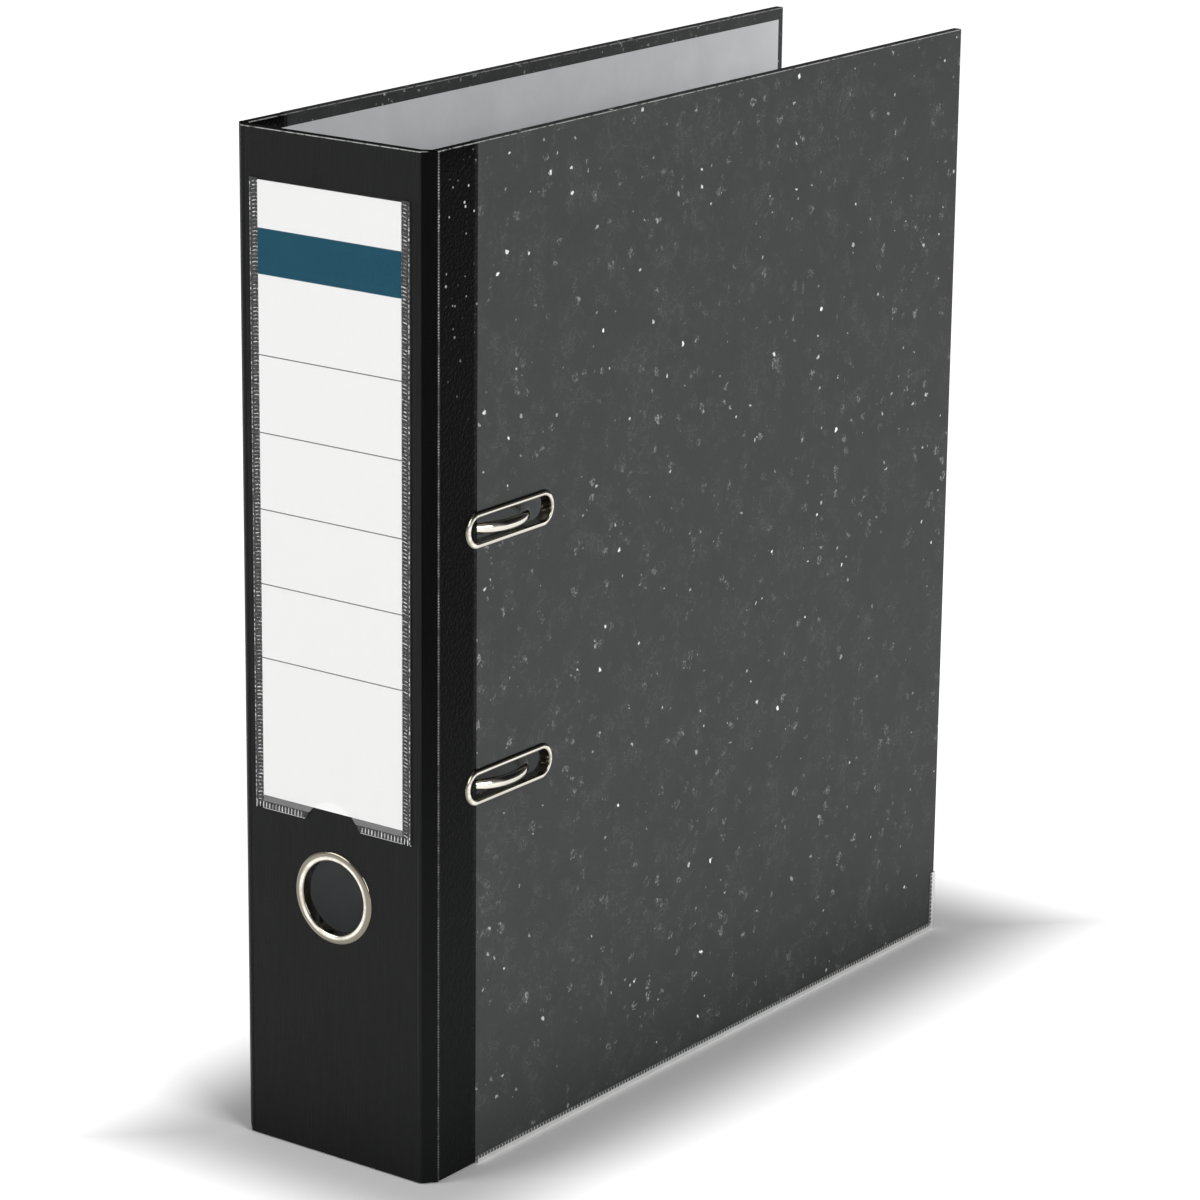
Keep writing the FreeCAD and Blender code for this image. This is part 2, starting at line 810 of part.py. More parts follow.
def make_roller():
    """The roller that bears on the crank, and the pin it turns on."""
    face = "(lever_width / 2 - lever_steel - roller_side_gap)"
    bore = "(roller_pin_radius + running_clearance)"
    tyre = [
        (bore, "0"),
        ("roller_radius", "0"),
        ("roller_radius", f"2 * {face}"),
        (bore, f"2 * {face}"),
    ]
    level = "lever_pivot - roller_arm"
    keep(turned("lever_roller", tyre, ("lever_level", f"lever_along - {face}", level), ALONG_Y), "lever_roller")
    pin = [
        ("0", "0"),
        ("roller_pin_radius", "0"),
        ("roller_pin_radius", "lever_width"),
        ("0", "lever_width"),
    ]
    keep(turned("roller_pin", pin, ("lever_level", "lever_along - lever_width / 2", level), ALONG_Y), "roller_pin")


def make_lever_bracket():
    """Two cheeks on a foot carry the lever's axle."""
    outer = "(cheek_offset + bracket_steel)"
    low = "(lever_pivot - bracket_before)"
    long = "(bracket_before + bracket_after)"
    foot = box("bracket_foot", ("plate_top", f"lever_along - {outer}", low), ("plate_thickness", f"2 * {outer}", long))
    solids = [foot]
    for count, along in enumerate((f"lever_along - {outer}", "lever_along + cheek_offset")):
        solids.append(
            box(f"bracket_cheek{count}", ("plate_top", along, low), ("lever_level - plate_top", "bracket_steel", long))
        )
        solids.append(
            cylinder(
                f"bracket_top{count}",
                ("lever_level", along, "lever_pivot"),
                "bracket_round",
                "bracket_steel",
                ALONG_Y,
            )
        )
    hole = cylinder(
        "bracket_hole",
        ("lever_level", f"lever_along - {outer}", "lever_pivot"),
        "axle_radius",
        f"2 * {outer}",
        ALONG_Y,
    )
    keep(cut("lever_bracket", fuse("bracket_body", solids), [hole]), "lever_bracket")
    axle = [
        ("0", "0"),
        ("axle_head_radius", "0"),
        ("axle_head_radius", "axle_head"),
        ("axle_radius", "axle_head"),
        ("axle_radius", f"axle_head + 2 * {outer}"),
        ("axle_head_radius", f"axle_head + 2 * {outer}"),
        ("axle_head_radius", f"2 * axle_head + 2 * {outer}"),
        ("0", f"2 * axle_head + 2 * {outer}"),
    ]
    keep(
        turned("lever_axle", axle, ("lever_level", f"lever_along - {outer} - axle_head", "lever_pivot"), ALONG_Y),
        "lever_axle",
    )


def make_compressor():
    """A channel-shaped bar that holds the sheets down, with the spring that grips the posts."""
    low = "(arch_middle - bar_length / 2)"
    near = "(post_along - bar_width / 2)"
    web = box("bar_web", ("bar_inside", near, low), ("bar_steel", "bar_width", "bar_length"))
    sides = [
        box(f"bar_side{count}", ("bar_low", along, low), ("bar_depth", "bar_steel", "bar_length"))
        for count, along in enumerate((near, f"{near} + bar_width - bar_steel"))
    ]

    def post_holes(name, gap):
        return [
            cylinder(
                f"{name}_{level}",
                ("bar_low - bar_depth", "post_along", arch_level(sign)),
                f"post_radius + {gap}",
                "3 * bar_depth",
                ALONG_X,
            )
            for level, sign in LEVELS.items()
        ]

    rivet_hole = cylinder(
        "spring_rivet_hole",
        ("bar_low - bar_depth", "post_along", "arch_middle"),
        "spring_rivet_radius",
        "3 * bar_depth",
        ALONG_X,
    )
    bar = fuse("bar_body", [web] + sides)
    keep(cut("compressor_bar", bar, post_holes("bar_hole", "bar_hole_gap") + [rivet_hole]), "compressor_bar")
    leaf = box(
        "spring_leaf",
        ("bar_inside - spring_steel", "post_along - spring_width / 2", "arch_middle - spring_length / 2"),
        ("spring_steel", "spring_width", "spring_length"),
    )
    keep(
        cut("compressor_spring", leaf, post_holes("spring_hole", "running_clearance") + [rivet_hole]),
        "compressor_spring",
    )
    head = "(spring_rivet_radius + spring_rivet_head)"
    grip = "(spring_steel + bar_steel)"
    rivet = [
        ("0", "0"),
        (head, "0"),
        (head, "spring_rivet_head"),
        ("spring_rivet_radius", "spring_rivet_head"),
        ("spring_rivet_radius", f"spring_rivet_head + {grip}"),
        (head, f"spring_rivet_head + {grip}"),
        (head, f"2 * spring_rivet_head + {grip}"),
        ("0", f"2 * spring_rivet_head + {grip}"),
    ]
    foot = ("bar_inside - spring_steel - spring_rivet_head", "post_along", "arch_middle")
    keep(turned("compressor_rivet", rivet, foot, ALONG_X), "compressor_rivet")


def check_document():
    """Stop before anything is written if an object failed or a sub-part is not sound."""
    for thing in doc.Objects:
        if {"Invalid", "Error"} & set(thing.State):
            raise RuntimeError(f"{thing.Name} did not recompute: {thing.State}")
    for solid in nodes:
        if solid.Shape.isNull() or not solid.Shape.isValid() or not solid.Shape.Solids:
            raise RuntimeError(f"{solid.Label} has no valid solid")


def write_steps():
    os.makedirs("parts", exist_ok=True)
    for solid in nodes:
        solid.Shape.exportStep(f"parts/{solid.Label}.step")
        print(f"{solid.Label}: {len(solid.Shape.Solids)} solid(s), {solid.Shape.Volume:.1f} mm3")


sheet = fill_sheet()
slot_punches = make_slot_punches()
rivet_punches = make_rivet_punches()
make_cover("front", SIDES["front"], slot_punches)
make_cover("back", SIDES["back"], rivet_punches)
make_spine()
make_finger_ring()
make_label()
for (slot_level, slot_sign), slot_punch in zip(LEVELS.items(), slot_punches):
    make_slot_eyelet(slot_level, slot_sign, slot_punch)
make_base_plate(rivet_punches)
make_rivets()
for post_level, post_sign in LEVELS.items():
    make_post(post_level, post_sign)
make_bearings()
make_arch_bow()
make_lever()
make_roller()
make_lever_bracket()
make_compressor()
doc.recompute()
check_document()
write_steps()
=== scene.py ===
"""Finishes and fine pieces of a lever arch file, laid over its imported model."""

import math

import bmesh
import bpy
from mathutils import Matrix, Vector


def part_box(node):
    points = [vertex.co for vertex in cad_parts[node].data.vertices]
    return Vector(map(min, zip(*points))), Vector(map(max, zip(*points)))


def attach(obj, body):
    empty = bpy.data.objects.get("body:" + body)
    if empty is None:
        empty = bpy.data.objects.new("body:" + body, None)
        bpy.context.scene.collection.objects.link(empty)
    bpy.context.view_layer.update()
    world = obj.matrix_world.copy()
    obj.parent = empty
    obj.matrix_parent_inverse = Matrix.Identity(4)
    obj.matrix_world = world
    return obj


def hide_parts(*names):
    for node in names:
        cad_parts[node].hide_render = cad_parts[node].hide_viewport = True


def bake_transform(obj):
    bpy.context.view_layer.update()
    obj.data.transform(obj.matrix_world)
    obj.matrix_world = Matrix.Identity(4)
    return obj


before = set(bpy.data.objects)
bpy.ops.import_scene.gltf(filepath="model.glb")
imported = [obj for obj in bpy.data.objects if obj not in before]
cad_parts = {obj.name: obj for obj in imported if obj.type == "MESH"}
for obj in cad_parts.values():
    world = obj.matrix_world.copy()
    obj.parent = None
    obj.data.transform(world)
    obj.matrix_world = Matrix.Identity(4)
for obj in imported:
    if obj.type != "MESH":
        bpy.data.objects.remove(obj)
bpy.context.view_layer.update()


def box_mm(node):
    """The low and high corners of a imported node, in millimetres."""
    low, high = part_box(node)
    return low * 1000, high * 1000


# --------------------------------------------------- places, in millimetres
strip_end, skin, file_top = (box_mm("front_cover_strip")[1][axis] for axis in (1, 0, 2))
wrap_low = box_mm("spine_wrap")[0]
rail_low, rail_high = box_mm("front_edge_rail")
pocket_low, pocket_high = box_mm("label_pocket")
card_low, card_high = box_mm("label_card")
lining_low, lining_high = (corner.z for corner in box_mm("spine_lining"))
spine_in, cover_in = box_mm("spine_lining")[1].y, box_mm("front_lining")[0].x
spine_y = wrap_low.y
BEVEL = 3.6  # how much each hinge cuts off the corner of spine and cover
corner_x, corner_y = skin - BEVEL, spine_y + BEVEL
FLAP = 2.35  # height of the pocket's welded foot
seam_foot = pocket_low.z + FLAP
CRIMP_PITCH = 1.5
RULES = (137.4, 113.7, 90.1, 66.9, 43.7)  # heights above the label's foot
BAND = (-28.2, -14.3)  # from the label's top
FLOOR_MARGIN = 4.5  # how far round the file the floor's painted glow stays off


# ---------------------------------------------------------------- shading kit
class Signal:
    """A socket's value, with the arithmetic that a finish needs."""

    def __init__(self, finish, socket):
        self.finish, self.socket = finish, socket

    def math(self, operation, *values):
        """One step of arithmetic."""
        return self.finish.node(
            "ShaderNodeMath", {"operation": operation}, dict(enumerate(values))
        )

    def __add__(self, other):
        return self.math("ADD", self, other)

    def __sub__(self, other):
        return self.math("SUBTRACT", self, other)

    def __rsub__(self, other):
        return self.math("SUBTRACT", other, self)

    def __mul__(self, other):
        return self.math("MULTIPLY", self, other)

    def __mod__(self, other):
        return self.math("FLOORED_MODULO", self, other)

    def __abs__(self):
        return self.math("ABSOLUTE", self)

    def __gt__(self, other):
        return self.math("GREATER_THAN", self, other)

    def __lt__(self, other):
        return self.math("LESS_THAN", self, other)

    def sine(self):
        return self.math("SINE", self)

    def highest(self, other):
        """The greater of the two at each point."""
        return self.math("MAXIMUM", self, other)

    __radd__, __rmul__ = __add__, __mul__


class Finish:
    """A material in the making. Its lengths are millimetres in the model's own frame."""

    def __init__(self, name, place=None):
        self.material = bpy.data.materials.new(name)
        self.material.use_nodes = True
        self.tree = self.material.node_tree
        self.tree.nodes.clear()
        if place:
            spot = self.node("ShaderNodeAttribute", {"attribute_name": place}, {}, 1)
        else:
            spot = self.node("ShaderNodeTexCoord", {}, {}, "Object")
        self.here = self.stretched((1000, 1000, 1000), spot)
        self.x, self.y, self.z = (
            self.node("ShaderNodeSeparateXYZ", {}, {0: self.here}, axis)
            for axis in "XYZ"
        )

    def node(self, kind, settings=None, values=None, output=0):
        """Adds a node: its settings first, then the values or links of its sockets."""
        made = self.tree.nodes.new(kind)
        for name, value in (settings or {}).items():
            setattr(made, name, value)
        for name, value in (values or {}).items():
            if isinstance(value, Signal):
                self.tree.links.new(value.socket, made.inputs[name])
            else:
                made.inputs[name].default_value = value
        return None if output is None else Signal(self, made.outputs[output])

    def vector(self, operation, values):
        return self.node("ShaderNodeVectorMath", {"operation": operation}, values)

    def stretched(self, scale, spot=None):
        """The place of each point, with each axis scaled."""
        return self.vector("MULTIPLY", {0: spot or self.here, 1: scale})

    def noise(self, per_mm, detail=2, rough=0.5, twist=0, stretch=None):
        """A cloud between 0 and 1. A stretch below 1 draws it out along that axis."""
        spot = self.stretched(stretch) if stretch else self.here
        values = {"Vector": spot, "Scale": per_mm, "Detail": detail}
        values |= {"Roughness": rough, "Distortion": twist}
        return self.node("ShaderNodeTexNoise", {}, values)

    def cells(self, per_mm, feature="F1"):
        """How far each point is from the middle of its cell."""
        values = {"Vector": self.here, "Scale": per_mm}
        return self.node("ShaderNodeTexVoronoi", {"feature": feature}, values)

    def fade(self, value, low, high, to=(0, 1)):
        """Goes softly from one number to the other as the value goes from low to high."""
        return self.node(
            "ShaderNodeMapRange",
            {"interpolation_type": "SMOOTHSTEP"},
            {0: value, 1: low, 2: high, 3: to[0], 4: to[1]},
        )

    def between(self, value, low, high, edge=0.03):
        """1 inside a band, 0 outside it."""
        return self.fade(value, low - edge, low + edge) * self.fade(
            value, high - edge, high + edge, (1, 0)
        )

    def mix(self, share, first, second):
        """The first colour where share is 0, the second where it is 1."""
        first, second = (
            c if isinstance(c, Signal) else (*c, 1) for c in (first, second)
        )
        return self.node(
            "ShaderNodeMix", {"data_type": "RGBA"}, {0: share, 6: first, 7: second}, 2
        )

    def relief(self, height, depth):
        """A bump of that depth where height goes from 0 to 1."""
        return self.node("ShaderNodeBump", {}, {"Height": height, "Distance": depth / 1000})

    def surface(self, colour, roughness, relief=None, **sockets):
        """Ends the finish and gives its material."""
        values = {"Base Color": colour, "Roughness": roughness}
        if not isinstance(colour, Signal):
            values["Base Color"] = (*colour, 1)
        if relief:
            values["Normal"] = relief
        values |= {name.replace("_", " "): value for name, value in sockets.items()}
        shader = self.node("ShaderNodeBsdfPrincipled", {}, values)
        self.node("ShaderNodeOutputMaterial", {}, {"Surface": shader}, None)
        return self.material


# ------------------------------------------------------------------ finishes
def linen_relief(f, across):
    """Fine upright streaks crossed by short threads."""
    streaks = f.noise(1.9, 2, 0.6, 0, (1, 1, 0.05))
    threads = f.noise(2.4, 2, 0.5, 0, (0.25, 0.25, 1.3))
    weave = (across * 11.0).sine() * 0.14 + (f.z * 11.0).sine() * 0.14
    return streaks * 0.62 + threads * 0.3 + weave


def painted_top_highlight(f, colour, below, share, tone, soft=0.08):
    """A painted highlight along a board's top edge, broken up by a noise, between two depths below
    it.
    """
    lowest, highest = (file_top - depth for depth in below)
    rubbed = f.between(f.z, lowest, highest, soft) * f.fade(f.noise(0.5, 3), 0.3, 0.55)
    return f.mix(rubbed * share, colour, tone)


def black_linen(place=None):
    """The spine's cloth, a little worn in patches."""
    f = Finish("black linen", place)
    height = linen_relief(f, f.x + f.y)
    worn = f.fade(f.noise(0.035, 3), 0.35, 0.75)
    thread = f.fade(height, 0.42, 0.78)
    dark = f.mix(thread, (0.0032, 0.0035, 0.0034), (0.0078, 0.0083, 0.0081))
    colour = f.mix(worn * 0.3, dark, (0.0088, 0.0092, 0.009))
    # painted highlight along the cloth's top edge
    colour = painted_top_highlight(f, colour, (0.38, 0.10), 0.9, (0.42, 0.42, 0.41))
    rough = f.fade(thread, 0, 1, (0.52, 0.40)) + worn * 0.05
    return f.surface(colour, rough, f.relief(height, 0.06), Specular_IOR_Level=0.12)


def creased_linen():
    """The cloth in the bevel of a hinge, painted near black as painted shade, the shade easing
    towards its foot.
    """
    f = Finish("creased linen", "laid")
    height = linen_relief(f, f.x + f.y)
    # painted shade: the facet is far darker than the spine's cloth, and lighter towards its foot
    foot = f.fade(f.z, 40, 190, (1, 0))
    dark = f.mix(f.fade(height, 0.42, 0.78), (0.0006, 0.0006, 0.0007), (0.0030, 0.0031, 0.0031))
    colour = f.mix(foot * 0.8, dark, (0.0075, 0.0080, 0.0078))
    return f.surface(colour, 0.55, f.relief(height, 0.05), Specular_IOR_Level=0.04)


def hammered_cloth(place=None):
    """The glossy grained cloth that binds the cover's hinge edge."""
    f = Finish("hammered cloth", place)
    dimples = f.cells(0.95, "SMOOTH_F1")
    fine = f.noise(2.6, 3, 0.6)
    height = f.fade(dimples, 0.05, 0.62) * 0.7 + fine * 0.3
    # painted glints: pale specks on the upper part of the outer face, standing in for highlights
    # off the grain
    painted_glints = f.fade(f.cells(0.36), 0.11, 0.20, (1, 0))
    glint_area = f.fade(f.noise(0.24, 2), 0.46, 0.56) * f.fade(f.z, file_top - 93, file_top - 6)
    glint_area = glint_area * (abs(f.x) > skin - 0.05)
    colour = f.mix(fine, (0.0006, 0.0006, 0.0007), (0.0026, 0.0026, 0.0028))
    # painted light: the strip is darker towards the top and lighter towards the bottom
    colour = f.mix(f.fade(f.z, 40, 190, (0.75, 0)), colour, (0.0085, 0.0090, 0.0088))
    colour = f.mix(painted_glints * glint_area * 0.9, colour, (0.55, 0.55, 0.56))
    # painted highlight: pale dots along the raised ridge at the cover's corner, stronger towards
    # the top
    ridge_glint_dots = f.fade((f.z * 7.4).sine(), -0.5, 0.7) * f.fade(f.noise(0.22, 3, 0.6), 0.34, 0.62)
    ridge = f.between(f.y, corner_y, corner_y + 0.7, 0.08) * (ridge_glint_dots * 0.8 + 0.16)
    colour = f.mix(ridge * f.fade(f.z, 20, 260, (0.42, 0.9)), colour, (0.34, 0.34, 0.345))
    # painted highlight along the cloth's top edge
    colour = painted_top_highlight(f, colour, (0.38, 0.10), 0.9, (0.42, 0.42, 0.41))
    rough = f.fade(height, 0.2, 0.8, (0.24, 0.42))
    return f.surface(colour, rough, f.relief(height, 0.12), Specular_IOR_Level=0.025)


def marbled_paper():
    """Charcoal paper with scattered white flecks, dim wisps and short fibres."""
    f = Finish("marbled paper")
    cloud = f.noise(0.06, 3, 0.55, 0.6)
    drift = {"Vector": f.here, "Scale": 0.55, "Detail": 3.0}
    drift = f.node("ShaderNodeTexNoise", {}, drift, "Color")
    drift = f.vector("SUBTRACT", {0: drift, 1: (0.5, 0.5, 0.5)})

    def strayed(far):
        """Places moved up to about that far, which tears the outlines of flecks."""
        return f.vector("ADD", {0: f.here, 1: f.vector("SCALE", {0: drift, "Scale": far})})

    def flecks(spot, pitch, share, size, soft):
        """Torn flecks in a share of the cells, of several sizes and strengths."""
        values = {"Vector": spot, "Scale": 1 / pitch}
        away = f.node("ShaderNodeTexVoronoi", {}, values) * pitch
        dice = f.node("ShaderNodeTexVoronoi", {}, values, 1)
        chance, pale = (f.node("ShaderNodeSeparateXYZ", {}, {0: dice}, n) for n in (0, 1))
        radius = f.fade(chance, 1 - share, 1, (0, size))
        return f.fade(radius - away, -0.06, soft) * (pale * pale * 0.75 + 0.25)

    torn, frayed = strayed(4.2), strayed(2.604)
    crowd = f.fade(f.noise(0.05, 3, 0.6), 0.44, 0.60)
    patchy = f.fade(f.noise(1.9, 3, 0.7), 0.30, 0.62)
    spark = flecks(frayed, 5.2, 0.46, 1.02, 0.28)
    small = flecks(frayed, 2.6, 0.32, 0.74, 0.22) * (crowd * 0.85 + 0.15)
    bright = flecks(torn, 5.0, 0.42, 1.10, 0.16) * (patchy * 0.6 + 0.4)
    dim = flecks(torn, 4.1, 0.50, 1.8, 0.3) * f.fade(f.noise(0.09, 3), 0.44, 0.58)
    fibres = f.fade(abs(f.noise(0.38, 2, 0.5, 3.4) - 0.5), 0.0, 0.016, (1, 0))
    fibres = fibres * f.fade(f.noise(0.14, 2), 0.54, 0.66)
    swirl = f.fade(abs(f.noise(0.10, 3, 0.55, 2.2) - 0.5), 0.0, 0.03, (1, 0))
    swirl = swirl * f.fade(cloud, 0.48, 0.64)
    grain = f.noise(2.6, 3, 0.7)
    base = f.mix(cloud, (0.024, 0.0257, 0.0252), (0.0365, 0.0382, 0.0375))
    base = f.mix(f.fade(grain, 0.35, 0.8) * 0.4, base, (0.066, 0.069, 0.067))
    base = f.mix(swirl * 0.20, base, (0.13, 0.135, 0.13))
    base = f.mix(fibres * 0.5, base, (0.22, 0.225, 0.22))
    base = f.mix(dim * f.fade(f.noise(0.95, 3, 0.7), 0.42, 0.66), base, (0.28, 0.285, 0.28))
    colour = f.mix(bright.highest(small), base, (0.84, 0.84, 0.83))
    colour = f.mix(spark, colour, (1.0, 1.0, 0.99))
    # painted highlight along the paper's top edge
    colour = painted_top_highlight(f, colour, (0.35, 0.08), 0.8, (0.36, 0.36, 0.35), 0.07)
    rough = f.fade(grain, 0.2, 0.8, (0.42, 0.56))
    return f.surface(colour, rough, f.relief(grain, 0.01), Specular_IOR_Level=0.16)


def lining_paper(place=None):
    """Pale grey paper, softly mottled, with a few dark specks."""
    f = Finish("lining paper", place)
    mottle = f.noise(0.05, 5, 0.6, 0.3)
    specks = f.fade(f.noise(1.6, 2, 0.6), 0.64, 0.72)
    grain = f.noise(3.5, 3, 0.7)
    base = f.mix(f.fade(mottle, 0.3, 0.7), (0.556, 0.568, 0.576), (0.602, 0.614, 0.622))
    colour = f.mix(specks * 0.12, base, (0.30, 0.30, 0.30))
    return f.surface(colour, 0.62 + grain * 0.12, f.relief(grain, 0.02))


def greyboard():
    """Raw board of grey fibres, seen where it is cut."""
    f = Finish("greyboard")
    fibre = f.noise(1.4, 4, 0.7, 0.4, (1, 1, 0.4))
    specks = f.fade(f.noise(2.6, 2), 0.62, 0.7)
    base = f.mix(fibre, (0.20, 0.185, 0.16), (0.36, 0.34, 0.30))
    colour = f.mix(specks * 0.6, base, (0.09, 0.085, 0.08))
    return f.surface(colour, 0.8 + fibre * 0.15, f.relief(fibre, 0.05))


def plated(name, colour, rough, deep=0.004):
    """Bright plating with faint haze and rubbed hairlines."""
    f = Finish(name)
    haze = f.noise(0.12, 3, 0.6)
    lines = f.noise(5.0, 2, 0.6, 0, (1, 1, 0.12))
    dull, clean = (tuple(c * part for c in colour) for part in (0.94, 1.05))
    tone = f.mix(f.fade(haze, 0.35, 0.65), dull, clean)
    roughness = f.fade(haze * 0.6 + lines * 0.4, 0.3, 0.7, (rough * 0.75, rough * 1.35))
    return f.surface(tone, roughness, f.relief(lines, deep), Metallic=1.0)


def rim_nickel_painted_light():
    """Warm nickel on a rolled rim, with a painted highlight along its crest and painted shade
    towards the cloth and the bore.

    It reads how far out from the opening it is, and its place round the rim."""
    f = Finish("rim nickel", "across")
    haze = f.noise(0.11, 3, 0.6)
    lines = f.noise(2.4, 2, 0.6, 0, (1, 0.3, 1))
    # painted highlight along the crest, painted shade towards the bore and the outer foot,
    # standing in for the dome's shading
    crest = f.fade(f.x, 0.05, 0.65) * f.fade(f.x, 0.95, 1.75, (1, 0))
    bright = f.mix(f.fade(haze, 0.38, 0.62), (0.56, 0.53, 0.46), (0.84, 0.81, 0.73))
    tone = f.mix(crest, (0.20, 0.185, 0.145), bright)
    return f.surface(tone, f.fade(lines, 0.3, 0.7, (0.08, 0.17)), None, Metallic=1.0)


def rail_steel():
    """Plated strip steel, dulled by handling, with painted shadow in near-black dashes where it
    grips the cover.
    """
    f = Finish("rail steel")
    haze = f.noise(0.25, 4, 0.65)
    lines = f.noise(3.5, 2, 0.6, 0, (0.3, 0.05, 1))
    scuffs = f.fade(f.noise(0.9, 3, 0.7, 0.4), 0.60, 0.72)
    tone = f.mix(haze, (0.70, 0.70, 0.695), (0.92, 0.92, 0.91))
    tone = f.mix(scuffs * 0.3, tone, (0.40, 0.395, 0.39))
    outside = abs(f.x) > rail_high.x - 0.2
    end, top = rail_high.y, rail_high.z
    # painted shadow: near-black dashes between the crimps, along the foot and up the fore edge,
    # made less metallic too
    along, upward = (f.fade(at % CRIMP_PITCH, 0.45, 0.55) * 0.75 + 0.25 for at in (f.y, f.z))
    foot = f.between(f.z, 1.45, 2.45, 0.06) * outside * (f.y < end - 2.2)
    fore = f.between(f.y, end - 2.5, end - 1.65, 0.06) * f.between(f.z, 2.4, top - 0.3, 0.1)
    painted_crimp_shadow = (foot * along).highest(fore * outside * upward)
    # painted shade: a darker line along the rail's end corner
    corner = f.between(f.y, end - 0.2, end + 0.1, 0.05) * outside
    tone = f.mix(corner * 0.6, tone, (0.2, 0.2, 0.2))
    tone = f.mix(painted_crimp_shadow * 0.97, tone, (0.004, 0.004, 0.004))
    rough = f.fade(haze + lines * 0.3, 0.4, 0.9, (0.30, 0.48))
    metal = 0.75 - painted_crimp_shadow * 0.7
    return f.surface(tone, rough, f.relief(lines - painted_crimp_shadow * 2, 0.02), Metallic=metal)


def label_print():
    """White card with a teal band and five fine ruled lines."""
    f = Finish("printed card")
    fibre = f.noise(2.2, 3, 0.6)
    card = f.mix(fibre, (0.74, 0.74, 0.735), (0.81, 0.81, 0.805))
    rules = None
    for height in RULES:
        level = card_low.z + height
        one = f.between(f.z, level - 0.17, level + 0.17, 0.05)
        rules = rules.highest(one) if rules else one
    band = f.between(f.z, *(card_high.z + depth for depth in BAND), 0.05)
    teal = f.mix(fibre, (0.0, 0.050, 0.086), (0.0, 0.062, 0.100))
    colour = f.mix(rules * 0.92, card, (0.045, 0.045, 0.048))
    colour = f.mix(band, colour, teal)
    return f.surface(colour, 0.5 + fibre * 0.1, f.relief(fibre, 0.006), Specular_IOR_Level=0.08)


def clear_film():
    """Thin clear film, slightly wavy and dusty."""
    f = Finish("clear film")
    wave = f.noise(0.06, 2, 0.5)
    dust = f.fade(f.noise(1.2, 3, 0.7), 0.66, 0.74)
    tone = f.mix(wave, (0.12, 0.12, 0.122), (0.16, 0.16, 0.162))
    alpha = 0.055 + dust * 0.02
    return f.surface(
        tone, 0.14 + dust * 0.15, f.relief(wave, 0.25), Alpha=alpha, Specular_IOR_Level=0.2
    )


def welded_seam():
    """Film melted onto the cloth: smoky grey, pressed into a fine ladder."""
    f = Finish("welded seam")
    blobs = f.noise(0.9, 3, 0.6, 0.6)
    tone = f.mix(f.fade(blobs, 0.35, 0.7), (0.005, 0.005, 0.0055), (0.045, 0.045, 0.047))
    foot = f.between(f.z, seam_foot + 0.15, card_low.z, 0.1)
    foot = foot * f.between(abs(f.x), 0, card_high.x + 0.1)
    tone = f.mix(foot * 0.85, tone, (0.17, 0.17, 0.172))
    hem = f.fade(f.z, pocket_low.z + 0.2, pocket_low.z + 0.45, (1, 0))
    tone = f.mix(hem * 0.85, tone, (0.45, 0.45, 0.455))
    return f.surface(tone, 0.3, f.relief(blobs, 0.12), Specular_IOR_Level=0.3)


def milky_rib():
    """The raised ribs of a welded seam, where the film is stretched pale."""
    f = Finish("milky rib")
    blobs = f.noise(0.55, 3, 0.65)
    foot = f.fade(f.z, seam_foot - 0.05, seam_foot + 0.15, (0.5, 0))
    bright = f.fade(blobs, 0.38, 0.66) + foot
    tone = f.mix(bright, (0.07, 0.07, 0.072), (0.60, 0.60, 0.605))
    return f.surface(tone, 0.3 + blobs * 0.1, f.relief(blobs, 0.04), Specular_IOR_Level=0.3)


def pale_floor():
    """White paper that glows as painted light, lifting its shadow, with the glow off near the file
    and fading in away from it.
    """
    f = Finish("pale floor")
    grain = f.noise(0.02, 3)
    tone = f.mix(grain, (0.88, 0.88, 0.88), (0.92, 0.92, 0.92))
    half_wide, half_deep = rail_high.x + FLOOR_MARGIN, rail_high.y + FLOOR_MARGIN
    away = (abs(f.x) - half_wide).highest(abs(f.y) - half_deep)
    # painted light: the floor's own glow, off near the file and fading in over 58 mm
    glow = f.mix(f.fade(away, 0, 58), (0.0, 0.0, 0.0), (1.0, 1.0, 1.0))
    return f.surface(tone, 0.7, Emission_Color=glow, Emission_Strength=0.78)


FINISHES = {
    "greyboard": greyboard(),
    "marbled_paper": marbled_paper(),
    "black_cloth": black_linen(),
    "lining_paper": lining_paper(),
    "rail_steel": rail_steel(),
    "nickel": plated("nickel", (0.68, 0.65, 0.585), 0.09),
    "plate_steel": plated("plate steel", (0.62, 0.62, 0.61), 0.30, 0.008),
    "clear_film": clear_film(),
    "label_paper": label_print(),
}
CLOTH, GRAIN, LINING = black_linen("laid"), hammered_cloth("laid"), lining_paper("laid")
CREASE = creased_linen()
SEAM, RIB = welded_seam(), milky_rib()
RIM = rim_nickel_painted_light()
# the crimps are painted dark grey, painted shade so that they read as shadowed gaps in the rail
CRIMP_PAINTED_SHADE = plated("crimped steel", (0.20, 0.20, 0.20), 0.35, 0.008)


# ------------------------------------------------------------- making pieces
def piece(name, points, faces, finishes, faces_of=None, smooth=True):
    """A mesh from points in millimetres; faces_of gives the finish of each face."""
    mesh = bpy.data.meshes.new(name)
    mesh.from_pydata([Vector(p) / 1000 for p in points], [], faces)
    for finish in finishes:
        mesh.materials.append(finish)
    for face in mesh.polygons:
        face.use_smooth = smooth
        face.material_index = faces_of[face.index] if faces_of else 0
    made = bpy.data.objects.new(name, mesh)
    bpy.context.collection.objects.link(made)
    return made


def keep_places(made):
    """Remembers where each point lies at rest, for the pattern of the piece."""
    laid = made.data.attributes.new("laid", "FLOAT_VECTOR", "POINT")
    for point, place in zip(made.data.vertices, laid.data):
        place.vector = point.co


